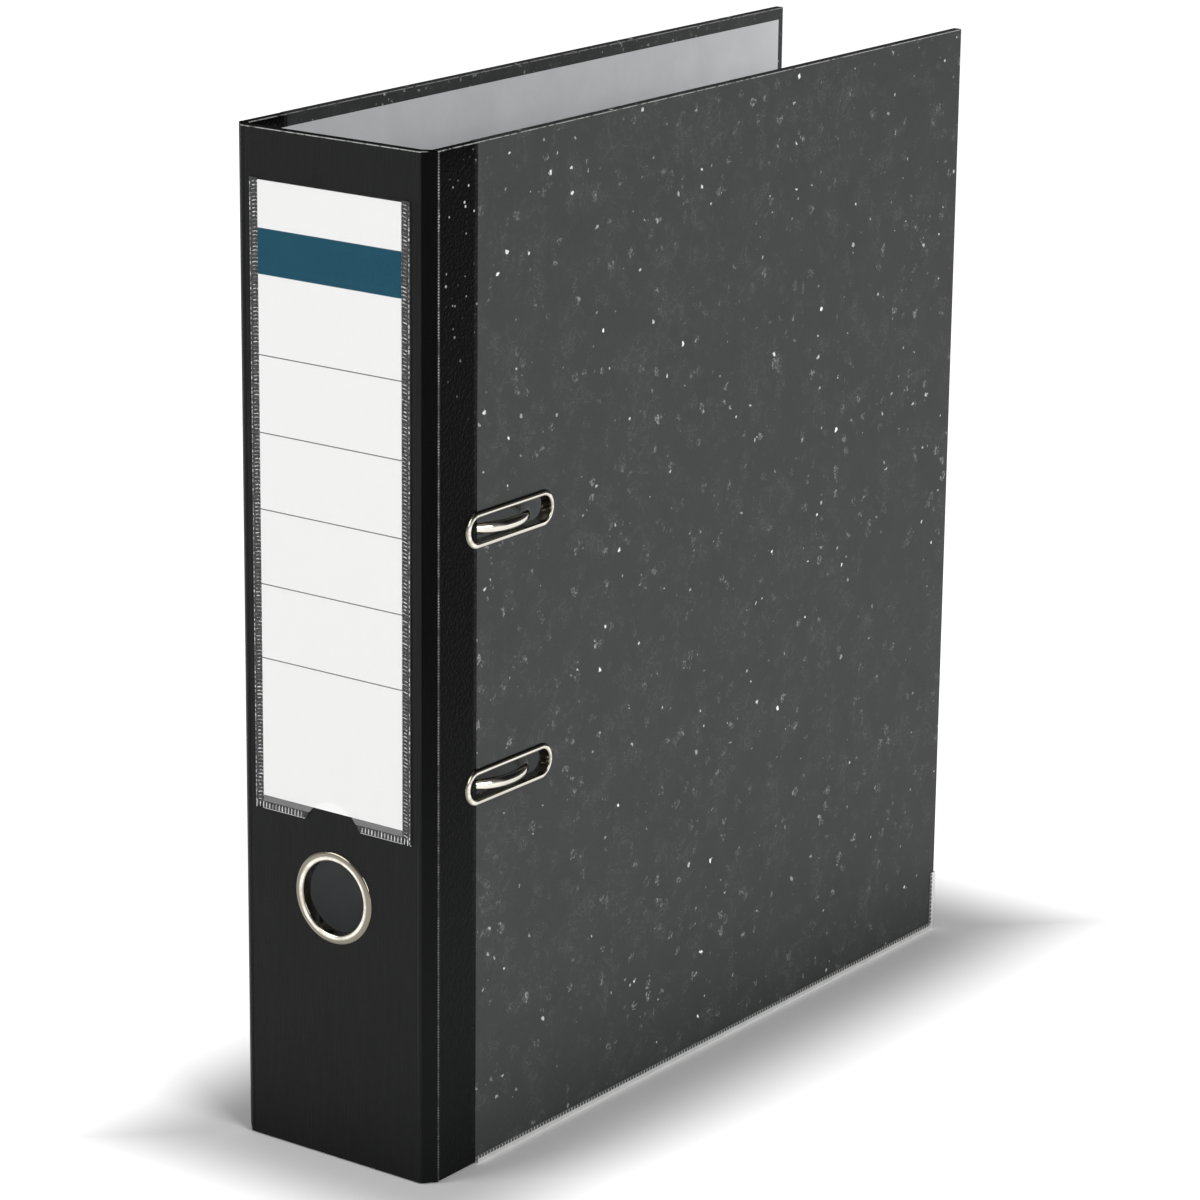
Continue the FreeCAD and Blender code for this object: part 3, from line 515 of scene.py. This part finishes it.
def facing_out(made):
    """Turns every face of a closed piece outwards."""
    shell = bmesh.new()
    shell.from_mesh(made.data)
    bmesh.ops.remove_doubles(shell, verts=shell.verts, dist=1e-7)
    bmesh.ops.recalc_face_normals(shell, faces=shell.faces)
    shell.to_mesh(made.data)
    shell.free()
    return made


def fitted(made, body, slot, *nodes):
    """Fixes a piece to a body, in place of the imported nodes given."""
    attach(made, body)
    if nodes:
        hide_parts(*nodes)
    return made


def stadium_rim(name, centre, length, width, axis, profile, body, node, around=96):
    """A rolled metal rim round a slot, or round a hole when length equals width.

    The profile gives points (out from the opening's edge, place along the axis)."""
    radius, run = width / 2, (length - width) / 2
    ring = []
    for step in range(around):
        turn = 2 * math.pi * (step + 0.5) / around
        along, up = math.cos(turn), math.sin(turn)
        ring.append((along, up, run if along > 0 else -run))
    points = []
    for along, up, shift in ring:
        for out, place in profile:
            a, b = shift + along * (radius + out), up * (radius + out)
            if axis == "X":
                points.append((place, centre[1] + a, centre[2] + b))
            else:
                points.append((centre[0] + a, place, centre[2] + b))
    deep = len(profile)
    faces = [
        (
            i * deep + j,
            (i + 1) % around * deep + j,
            (i + 1) % around * deep + (j + 1) % deep,
            i * deep + (j + 1) % deep,
        )
        for i in range(around)
        for j in range(deep)
    ]
    made = facing_out(piece(name, points, faces, [RIM]))
    across = made.data.attributes.new("across", "FLOAT_VECTOR", "POINT")
    for number, place in enumerate(across.data):
        place.vector = (profile[number % deep][0] / 1000, number // deep / 1000, 0)
    made.data.set_sharp_from_angle(angle=math.radians(38))
    return fitted(made, body, "nickel", node)


def domed(outer, base, top, inner_end, wall, lip, lip_place, crest=1.7):
    """Profile of a rim: a domed flange, its sleeve, and a lip rolled out behind.

    The higher crest is, the nearer the dome's top is to the bore."""
    sign = 1 if top > base else -1
    rise = abs(top - base)
    profile = []
    for step in range(13):
        turn = math.pi * step / 12
        out = outer * (0.5 - 0.5 * math.cos(turn)) ** crest
        lift = rise * math.sin(turn)
        profile.append((out, base + sign * lift))
    profile += [(outer - 0.15, base - sign * 0.05), (wall + 0.1, base - sign * 0.05)]
    profile += [(wall, base - sign * 0.3), (wall, lip_place + sign * 0.35)]
    profile += [(wall + lip, lip_place + sign * 0.3), (wall + lip + 0.1, lip_place + sign * 0.15)]
    profile += [(wall + lip - 0.1, inner_end + sign * 0.02), (wall * 0.6, inner_end)]
    profile += [(0.12, inner_end + sign * 0.12), (0, inner_end + sign * 0.4)]
    return profile + [(0, base - sign * 0.2)]


# ----------------------------------------------------- repeats along a line
def repeat_tree(name):
    """Rounded studs in a row, each a little different in size."""
    tree = bpy.data.node_groups.new(name, "GeometryNodeTree")
    tree.is_modifier = True
    sides = {
        "Start": "NodeSocketVector", "End": "NodeSocketVector", "Pitch": "NodeSocketFloat",
        "Size": "NodeSocketVector", "Lean": "NodeSocketVector", "Uneven": "NodeSocketFloat",
        "Seed": "NodeSocketInt", "Finish": "NodeSocketMaterial",
    }
    for label, kind in sides.items():
        tree.interface.new_socket(label, in_out="INPUT", socket_type=kind)
    tree.interface.new_socket("Geometry", in_out="OUTPUT", socket_type="NodeSocketGeometry")

    def add(kind, settings=None, values=None, output=0):
        made = tree.nodes.new(kind)
        for key, value in (settings or {}).items():
            setattr(made, key, value)
        for key, value in (values or {}).items():
            if isinstance(value, bpy.types.NodeSocket):
                tree.links.new(value, made.inputs[key])
            else:
                made.inputs[key].default_value = value
        return made.outputs[output]

    given = tree.nodes.new("NodeGroupInput").outputs
    row = add(
        "GeometryNodeMeshLine",
        {"mode": "END_POINTS", "count_mode": "RESOLUTION"},
        {"Start Location": given["Start"], "Offset": given["End"], "Resolution": given["Pitch"]},
    )
    stud = add("GeometryNodeMeshUVSphere", {}, {"Segments": 8, "Rings": 6, "Radius": 0.5})
    chance = add(
        "FunctionNodeRandomValue",
        {"data_type": "FLOAT_VECTOR"},
        {0: (-1, -1, -1), 1: (1, 1, 1), "Seed": given["Seed"]},
    )

    def vector(operation, values):
        return add("ShaderNodeVectorMath", {"operation": operation}, values)

    share = vector("SCALE", {0: chance, "Scale": given["Uneven"]})
    share = vector("ADD", {0: share, 1: (1, 1, 1)})
    size = vector("MULTIPLY", {0: share, 1: given["Size"]})
    studs = add(
        "GeometryNodeInstanceOnPoints", {},
        {"Points": row, "Instance": stud, "Scale": size, "Rotation": given["Lean"]},
    )
    solid = add("GeometryNodeRealizeInstances", {}, {0: studs})
    painted = add("GeometryNodeSetMaterial", {}, {"Geometry": solid, "Material": given["Finish"]})
    out = tree.nodes.new("NodeGroupOutput")
    tree.links.new(painted, out.inputs[0])
    return tree


ROW = repeat_tree("row of studs")


def rows_of_studs(name, rows, finish, body, slot):
    """One mesh from several rows. A row is start, end, pitch, size, lean, uneven, seed."""
    whole = bmesh.new()
    for start, end, pitch, size, lean, uneven, seed in rows:
        host = bpy.data.objects.new(name, bpy.data.meshes.new(name))
        bpy.context.collection.objects.link(host)
        modifier = host.modifiers.new("row", "NODES")
        modifier.node_group = ROW
        given = {
            "Start": Vector(start) / 1000, "End": Vector(end) / 1000, "Pitch": pitch / 1000,
            "Size": Vector(size) / 1000, "Lean": Vector(lean), "Uneven": uneven,
            "Seed": seed, "Finish": finish,
        }
        for socket in ROW.interface.items_tree:
            if socket.name in given:
                modifier[socket.identifier] = given[socket.name]
        host.update_tag()
        graph = bpy.context.evaluated_depsgraph_get()
        graph.update()
        mesh = bpy.data.meshes.new_from_object(host.evaluated_get(graph))
        whole.from_mesh(mesh)
        bpy.data.objects.remove(host)
    mesh = bpy.data.meshes.new(name)
    whole.to_mesh(mesh)
    whole.free()
    mesh.materials.clear()
    mesh.materials.append(finish)
    for face in mesh.polygons:
        face.use_smooth = True
        face.material_index = 0
    made = bpy.data.objects.new(name, mesh)
    bpy.context.collection.objects.link(made)
    return fitted(made, body, slot)


# -------------------------------------------------------------- hinge sheets
TURN = 0.35  # radius of the cloth where it turns over the board's edge
CLOTH_DEPTH = 0.3
RIDGE_HIGH, RIDGE_WIDE = 0.26, 1.15  # the raised line along the cover's corner
FOLD = 2.2  # radius of the lining where it turns from spine to cover


def turned_in(low, high, depth, length, inset=0.0, steps=40):
    """A sheet's line up the outside and down behind, as (inward, z) points."""
    radius = TURN - inset
    foot, head = low + TURN, high - TURN
    corners = [  # centre of each rounded corner, and the angle its arc starts at
        (depth - TURN, foot, 0), (TURN, foot, -90), (TURN, head, -180), (depth - TURN, head, -270),
    ]
    line = [(depth - inset, low + length)]
    for number, (inward, z, start) in enumerate(corners):
        for step in range(5):
            turn = math.radians(start - 90 * step / 4)
            line.append((inward + radius * math.cos(turn), z + radius * math.sin(turn)))
        if number == 1:
            line += [(inset, foot + (head - foot) * n / steps) for n in range(1, steps)]
    line.append((depth - inset, high - length))
    return line


def bent_sheet(name, path, section, finishes):
    """A closed sheet: a section of (inward, z) points carried along a path.

    The path gives x, y, inward x, inward y and the number of its finish."""
    points = [
        (x + in_x * inward, y + in_y * inward, z)
        for x, y, in_x, in_y, _ in path
        for inward, z in section
    ]
    tall, last = len(section), len(path) - 1
    faces, of = [], []
    for i in range(last):
        for j in range(tall):
            k = (j + 1) % tall
            faces.append((i * tall + j, (i + 1) * tall + j, (i + 1) * tall + k, i * tall + k))
            of.append(path[i][4])
    for i in (0, last):  # the two ends of the sheet
        start, end = i * tall, i * tall + tall - 1
        for j in range(tall // 2 - 1):
            faces.append((start + j, start + j + 1, end - j - 1, end - j))
            of.append(path[i][4])
    made = facing_out(piece(name, points, faces, finishes, of))
    keep_places(made)
    return made


def hinge_path(side):
    """Across the spine's corner, the bevelled facet, the ridge and the cover's strip."""
    lift = 0.03
    path = []

    def put(x, y, towards, finish):
        # towards is the way out of the sheet in degrees, 0 for +X and -90 for -Y
        out_x, out_y = math.cos(math.radians(towards)), math.sin(math.radians(towards))
        path.append((side * (x + out_x * lift), y + out_y * lift, -side * out_x, -out_y, finish))

    put(corner_x - 1.2, spine_y, -90, 0)
    put(corner_x - 0.5, spine_y, -88, 0)
    put(corner_x - 0.1, spine_y + 0.02, -72, 0)
    put(corner_x + 0.3, spine_y + 0.3, -50, 2)
    for share in (0.2, 0.35, 0.42, 0.5, 0.58, 0.65, 0.8):
        put(corner_x + BEVEL * share, spine_y + BEVEL * share, -45, 2)
    put(skin - 0.3, corner_y - 0.3, -40, 2)
    for step in range(7):  # the raised ridge at the cover's corner
        share = step / 6
        x = skin - 0.05 + RIDGE_HIGH * math.sin(math.pi * share)
        y = corner_y - 0.1 + RIDGE_WIDE * share
        put(x, y, -25 + 25 * share, 1 if step else 2)
    for along in (1.8, 3, 5, 8, 11, 14, 17):
        put(skin, corner_y + along, 0, 1)
    put(skin, strip_end, 0, 1)
    return path


hinges = (("front_cover", "spine", "front_cover", 1), ("back_cover", "back_cover", "spine", -1))
span = (wrap_low.z + 0.02, file_top - 0.03, 2.78, lining_low - wrap_low.z)
outside = turned_in(*span) + turned_in(*span, CLOTH_DEPTH)[::-1]
for face, first, second, side in hinges:
    path = hinge_path(side)
    if side < 0:
        kinds = [step[4] for step in path[:-1]]
        path = [(*step[:4], kind) for step, kind in zip(path[::-1], kinds[::-1] + [0])]
    sheet = bent_sheet(face + "_hinge_cloth", path, outside, [CLOTH, GRAIN, CREASE])
    middle = Vector((side * (skin - BEVEL / 2), spine_y + BEVEL / 2, 0)) / 1000
    step = Vector((0.0008, side * 0.0008, 0))
    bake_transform(sheet)
    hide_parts(face + "_strip")

# the lining that bridges each hinge inside
for face, first, second, side in hinges:
    path = [(side * x, spine_in, 0, 1, 0) for x in (24, 27, 30, 31.5)]
    for step in range(1, 8):
        bend = math.radians(90 * step / 8)
        x = cover_in - FOLD + FOLD * math.sin(bend)
        y = spine_in + FOLD - FOLD * math.cos(bend)
        path.append((side * x, y, -side * math.sin(bend), math.cos(bend), 0))
    path += [(side * cover_in, spine_in + y, -side, 0, 0) for y in (2.6, 5, 9, 14)]
    if side < 0:
        path = path[::-1]
    rise = [lining_low + 0.2 + (lining_high - lining_low - 0.4) * n / 40 for n in range(41)]
    section = [(0.26, z) for z in rise] + [(0.03, z) for z in rise[::-1]]
    made = bent_sheet(face + "_hinge_lining", path, section, [LINING])
    middle = Vector((side * (cover_in - 0.65), spine_in + 0.65, 0)) / 1000
    step = Vector((0.0011, side * 0.0011, 0))
    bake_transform(made)

# ---------------------------------------------------------- metal rims
SLOT_FLANGE = 1.9  # how far a slot's rim reaches over the cover
RING_BORE = 23.4
WALL, LIP = 0.5, 0.6  # an eyelet's sleeve, and the lip rolled out behind it
for node in ("slot_eyelet_lower", "slot_eyelet_upper"):
    low, high = box_mm(node)
    middle = (low + high) / 2
    washer = box_mm("slot_washer_" + node.split("_")[2])[0].x
    profile = domed(SLOT_FLANGE, skin, high.x, low.x, WALL, LIP, washer)
    long, wide = high.y - low.y - 2 * SLOT_FLANGE, high.z - low.z - 2 * SLOT_FLANGE
    stadium_rim(node + "_rim", middle, long, wide, "X", profile, "front_cover", node, 128)
low, high = box_mm("finger_ring")
middle = (low + high) / 2
outer = (high.x - low.x - RING_BORE) / 2
washer = box_mm("finger_ring_washer")[1].y
profile = domed(outer, spine_y, low.y, high.y, WALL, LIP, washer, crest=1.1)
stadium_rim("finger_ring_rim", middle, RING_BORE, RING_BORE, "Y", profile, "spine", "finger_ring")

# ----------------------------------------------------------- label pocket
front = pocket_low.y
inner = card_high.x + 0.05


def film_sheet():
    """The clear front of the pocket, with the thumb notch in its foot."""
    radius, centre = 10.6, card_low.z - 7.6
    chord = math.sqrt(radius**2 - (seam_foot - centre) ** 2)
    left, right = pocket_low.x + 0.1, pocket_high.x - 0.1
    columns = [left, -25, -18, -12]
    foot = [seam_foot] * 4
    for step in range(25):
        across = -chord + 2 * chord * step / 24
        columns.append(across)
        foot.append(centre + math.sqrt(max(0, radius**2 - across**2)))
    columns += [12, 18, 25, right]
    foot += [seam_foot] * 4
    levels = 24
    points, faces = [], []
    for x, bottom in zip(columns, foot):
        for level in range(levels + 1):
            share = (level / levels) ** 1.5
            points.append((x, front + 0.2, bottom + (pocket_high.z - bottom) * share))
    tall = levels + 1
    for i in range(len(columns) - 1):
        for j in range(levels):
            near, far = i * tall + j, (i + 1) * tall + j
            faces.append((near, far, far + 1, near + 1))
    made = piece("pocket_film", points, faces, [FINISHES["clear_film"]])
    thickness = made.modifiers.new("thickness", "SOLIDIFY")
    thickness.thickness, thickness.offset = 0.00012, 0
    return fitted(made, "spine", "clear_film", "label_pocket")


def seam_band(name, outline):
    """A flat melted band with an eased front edge, from its outline in X and Z."""
    centre_x = sum(p[0] for p in outline) / len(outline)
    centre_z = sum(p[1] for p in outline) / len(outline)
    rings = []
    for inset, y in ((0, spine_y - 0.01), (0, front + 0.3), (0.25, front + 0.16)):
        ring = []
        for x, z in outline:
            dx = max(-inset, min(inset, centre_x - x))
            dz = max(-inset, min(inset, centre_z - z))
            ring.append((x + dx, y, z + dz))
        rings.append(ring)
    count = len(outline)
    points = [p for ring in rings for p in ring]
    faces = []
    for level in range(2):
        for i in range(count):
            here, next_one = level * count + i, level * count + (i + 1) % count
            faces.append((here, next_one, next_one + count, here + count))
    faces.append(tuple(range(count)))
    faces.append(tuple(2 * count + i for i in range(count)))
    made = facing_out(piece(name, points, faces, [SEAM], None, False))
    return fitted(made, "spine", "clear_film")


film_sheet()
low, high, card_foot = pocket_low.z, pocket_high.z, card_low.z - 0.05
for side, word in ((-1, "left"), (1, "right")):
    near, far = side * inner, side * pocket_high.x
    seam_band(f"side_seam_{word}", [(near, low + 2.3), (far, low), (far, high), (near, high)])
foot = [
    (card_high.x, low + 0.05), (11.0, low + 0.05), (10.2, low + 0.7),
    (9.2, seam_foot), (7.5, card_foot), (card_high.x, card_foot),
]
for side, word in ((-1, "left"), (1, "right")):
    seam_band(f"foot_seam_{word}", [(side * x, z) for x, z in foot][::-side])
face_y = front + 0.24


def upright(x, start, end):
    """The two ends of a row of ribs up one side of the pocket."""
    return (x, face_y, start), (x, face_y, end)


rows = []
for side in (-1, 1):
    ladder = upright(side * 28.3, low + 2.9, high - 0.7)
    rows.append((*ladder, 1.15, (2.1, 0.30, 0.42), (0, side * 0.25, 0), 0.25, 5 + side))
    hem = upright(side * 29.8, low + 0.9, high - 0.6)
    rows.append((*hem, 1.5, (0.42, 0.34, 1.35), (0, 0, 0), 0.3, 9 + side))
    dots = upright(side * 27.25, card_low.z - 0.3, high - 0.6)
    rows.append((*dots, 1.15, (0.3, 0.30, 0.55), (0, 0, 0), 0.2, 3))
    teeth = ((x, face_y, low + 1.25) for x in sorted((side * 11.6, side * 29.6)))
    rows.append((*teeth, 1.25, (0.42, 0.4, 2.2), (0, 0.06, 0), 0.18, 20 + side))
rows_of_studs("seam_ribs", rows, RIB, "spine", "clear_film")

# ------------------------------------------------------------ rails' crimps
for word, body, side in (("front", "front_cover", 1), ("back", "back_cover", -1)):
    edge, start, fore = side * (skin + 0.36), rail_low.y, rail_high.y - 2.1
    foot = (edge, start + 2.4, 1.95), (edge, fore - 1, 1.9)
    rise = (edge, fore, 2.7), (edge, fore, rail_high.z - 0.8)
    tab = (edge, start + 0.4, 1.3)
    rows = [
        (*foot, CRIMP_PITCH, (0.3, 0.4, 0.85), (0, 0, 0), 0.1, 31),
        (*rise, CRIMP_PITCH, (0.3, 0.7, 0.4), (0, 0, 0), 0.1, 37),
        (tab, tab, 1, (0.6, 0.75, 2.5), (0.1, 0, 0), 0, 1),
    ]
    rows_of_studs(word + "_rail_crimps", rows, CRIMP_PAINTED_SHADE, body, "rail_steel")

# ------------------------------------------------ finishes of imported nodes
# each finish goes to the nodes whose names hold one of its words, and nickel to the rest
SLOT_OF = {
    "greyboard": "board",
    "lining_paper": "lining",
    "marbled_paper": "cover_paper",
    "black_cloth": "spine_wrap _strip",
    "rail_steel": "rail",
    "clear_film": "label_pocket",
    "label_paper": "label_card",
    "plate_steel": "base_plate compressor_bar washer",
}
for name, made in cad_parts.items():
    found = [s for s, words in SLOT_OF.items() if any(w in name for w in words.split())]
    slot = "nickel" if name == "base_plate_rivets" or not found else found[0]
    made.data.materials.clear()
    made.data.materials.append(FINISHES[slot])

# ------------------------------------------------------------------- stage
FAR = 6000
corners = [(-FAR, -FAR, 0), (FAR, -FAR, 0), (FAR, FAR, 0), (-FAR, FAR, 0)]
piece("floor", corners, [(0, 1, 2, 3)], [pale_floor()])


def studio_world():
    """A room that is bright near the horizon, dim overhead and dark behind the file."""
    world = bpy.data.worlds.new("studio")
    bpy.context.scene.world = world
    world.use_nodes = True
    tree = world.node_tree
    tree.nodes.clear()
    place, parts, both, light, out = (
        tree.nodes.new(kind)
        for kind in (
            "ShaderNodeTexCoord", "ShaderNodeSeparateXYZ", "ShaderNodeMath",
            "ShaderNodeBackground", "ShaderNodeOutputWorld",
        )
    )
    both.operation = "MULTIPLY"
    tree.links.new(place.outputs["Generated"], parts.inputs[0])
    fades = (("Z", 0.10, 0.45, 0.22), ("Y", 0.15, 0.50, 0.10))
    for number, (axis, low, high, end) in enumerate(fades):
        shade = tree.nodes.new("ShaderNodeMapRange")
        shade.interpolation_type = "SMOOTHSTEP"
        for socket, value in enumerate((low, high, 1.0, end), 1):
            shade.inputs[socket].default_value = value
        tree.links.new(parts.outputs[axis], shade.inputs[0])
        tree.links.new(shade.outputs[0], both.inputs[number])
    tree.links.new(both.outputs[0], light.inputs["Strength"])
    tree.links.new(light.outputs[0], out.inputs[0])


def soft_box(name, centre, height_aimed, wide, tall, watts):
    """A rectangular lamp that faces a point above the middle of the floor."""
    lamp = bpy.data.lights.new(name, "AREA")
    lamp.shape, lamp.size, lamp.size_y, lamp.energy = "RECTANGLE", wide, tall, watts
    made = bpy.data.objects.new(name, lamp)
    bpy.context.collection.objects.link(made)
    made.location = Vector(centre)
    towards = Vector((0, 0, height_aimed)) - made.location
    made.rotation_euler = towards.to_track_quat("-Z", "Y").to_euler()


def aim_camera(turn, rise, roll, distance, sideways, height, lens):
    """Turns the camera round the file, raises it and tips it; angles are in degrees."""
    turn, rise, roll = (math.radians(angle) for angle in (turn, rise, roll))
    level = Vector((math.sin(turn), -math.cos(turn), 0))
    back = level * math.cos(rise) + Vector((0, 0, math.sin(rise)))
    right = Vector((0, 0, 1)).cross(back).normalized()
    up = back.cross(right)
    tilt_right = right * math.cos(roll) + up * math.sin(roll)
    tilt_up = up * math.cos(roll) - right * math.sin(roll)
    data = bpy.data.cameras.new("camera")
    data.lens, data.sensor_width = lens, 36
    camera = bpy.data.objects.new("camera", data)
    bpy.context.collection.objects.link(camera)
    place = right * sideways + Vector((0, 0, height)) + back * distance
    axes = Matrix((tilt_right, tilt_up, back)).transposed().to_4x4()
    camera.matrix_world = Matrix.Translation(place) @ axes
    bpy.context.scene.camera = camera


studio_world()
soft_box("key", (-1.9, -3.2, 1.9), height_aimed=0.16, wide=2.0, tall=2.0, watts=60)
soft_box("fill", (3.4, -0.9, 2.0), height_aimed=0.16, wide=1.8, tall=2.0, watts=82)
soft_box("top", (-0.6, 0.9, 3.2), height_aimed=0.2, wide=1.6, tall=1.6, watts=8)
aim_camera(
    turn=36.174, rise=16.403, roll=0.623, distance=1.4634,
    sideways=-0.004112, height=0.14622, lens=135.85,
)
bpy.context.scene.view_settings.view_transform = "Standard"
